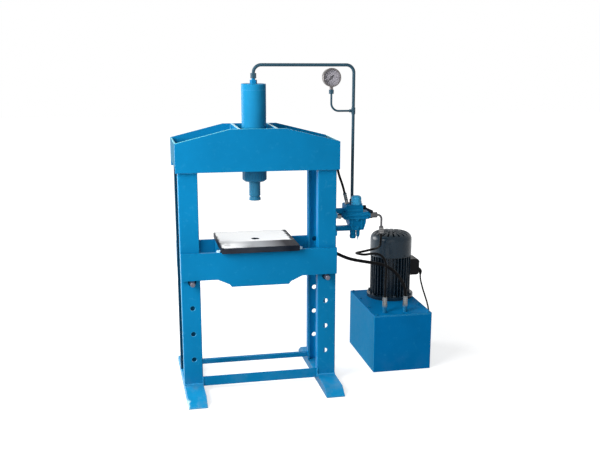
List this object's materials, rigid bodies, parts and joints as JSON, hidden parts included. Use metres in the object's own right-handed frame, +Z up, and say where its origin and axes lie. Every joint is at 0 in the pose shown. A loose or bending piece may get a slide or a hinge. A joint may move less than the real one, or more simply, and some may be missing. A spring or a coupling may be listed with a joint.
{
  "type": "hydraulic press",
  "caption": "Portal workshop press with an upright ram, a bed on pins, a hand valve, a dial gauge and a tank-top motor pump joined by hoses.",
  "frame": {"origin": "on the floor, under the ram's axis, midway between the uprights", "axes": "+Z up along the ram's axis, +X towards the power pack, -Y towards the operator"},
  "size_m": [1.2423, 0.8437, 1.415],
  "materials": {
    "frame_blue": "gloss enamel",
    "foot_blue": "gloss enamel, worn lighter at the noses",
    "pipe_blue": "gloss enamel",
    "motor_grey": "satin enamel",
    "bright_steel": "ground",
    "pin_steel": "dull, handled",
    "zinc_steel": "zinc plated",
    "gauge_steel": "polished",
    "dial_white": "matt print",
    "gauge_glass": "clear",
    "pointer_black": "matt",
    "black_plastic": "moulded",
    "fan_plastic": "moulded",
    "hose_rubber": "semi-matt",
    "seal_rubber": "matt",
    "piston_iron": "turned",
    "pump_aluminium": "cast",
    "lever_steel": "dark enamel"
  },
  "bodies": {
    "frame": {"bed_front_plate": "frame_blue", "bed_rear_plate": "frame_blue", "bed_spacers": "frame_blue", "bed_stops": "bright_steel", "bolster_plate": "bright_steel", "cable_coil": "hose_rubber", "cap_fitting": "frame_blue", "crown_base_plate": "frame_blue", "crown_ends": "frame_blue", "crown_front_plate": "frame_blue", "crown_rear_plate": "frame_blue", "crown_ribs": "frame_blue", "cylinder_barrel": "frame_blue", "fan_cover": "motor_grey", "front_tie_bar": "frame_blue", "gauge_case": "gauge_steel", "gauge_dial": "dial_white", "gauge_glass": "gauge_glass", "gauge_pipe": "pipe_blue", "gear_pump": "pump_aluminium", "gland_nut": "frame_blue", "left_bed_pin": "pin_steel", "left_foot": "foot_blue", "left_front_upright": "frame_blue", "left_rear_upright": "frame_blue", "motor_bearings": "bright_steel", "motor_housing": "motor_grey", "pipe_nuts": "pipe_blue", "plug": "black_plastic", "power_cable": "hose_rubber", "pressure_elbow": "zinc_steel", "pressure_hose": "hose_rubber", "pressure_pipe": "pipe_blue", "rear_tie_bar": "frame_blue", "retract_hose": "hose_rubber", "retract_pipe": "pipe_blue", "return_hose": "hose_rubber", "right_bed_pin": "pin_steel", "right_foot": "foot_blue", "right_front_upright": "frame_blue", "right_rear_upright": "frame_blue", "rod_seal": "seal_rubber", "tank_lid": "frame_blue", "tank_shell": "frame_blue", "tank_unions": "zinc_steel", "terminal_box": "black_plastic", "valve_body": "frame_blue", "valve_bracket": "frame_blue", "valve_cap": "frame_blue", "valve_unions": "zinc_steel"},
    "ram": {"ram": "frame_blue", "ram_nose": "frame_blue", "piston": "piston_iron", "piston_seal": "seal_rubber"},
    "lever": {"valve_lever": "lever_steel"},
    "spool": {"valve_spool": "bright_steel"},
    "relief_screw": {"relief_screw": "frame_blue"},
    "pointer": {"gauge_pointer": "pointer_black"},
    "rotor": {"motor_rotor": "bright_steel", "motor_fan": "fan_plastic"}
  },
  "joints": [
    {"name": "ram_slide", "type": "slide", "parent": "frame", "child": "ram", "axis": [0, 0, -1], "range_m": [0, 0.15]},
    {"name": "lever_hinge", "type": "hinge", "parent": "frame", "child": "lever", "pos_m": [0.489, -0.034, 0.786], "axis": [1, 0, 0], "range_deg": [-20, 20], "stiffness_Nm_per_rad": 6},
    {"name": "spool_slide", "type": "slide", "parent": "frame", "child": "spool", "axis": [0, 0, 1], "range_m": [-0.006, 0.006]},
    {"name": "relief_turn", "type": "hinge", "parent": "frame", "child": "relief_screw", "pos_m": [0.468, -0.012, 0.66], "axis": [0, 0, 1], "range_deg": [0, 360]},
    {"name": "pointer_hinge", "type": "hinge", "parent": "frame", "child": "pointer", "pos_m": [0.343, 0.007, 1.355], "axis": [0, 1, 0], "range_deg": [0, 270], "stiffness_Nm_per_rad": 0.01},
    {"name": "rotor_spin", "type": "hinge", "parent": "frame", "child": "rotor", "pos_m": [0.717, 0.275, 0.4], "axis": [0, 0, 1], "continuous": true}
  ],
  "couplings": [
    {"joint": "spool_slide", "follows": "lever_hinge", "m_per_rad": -0.012}
  ]
}
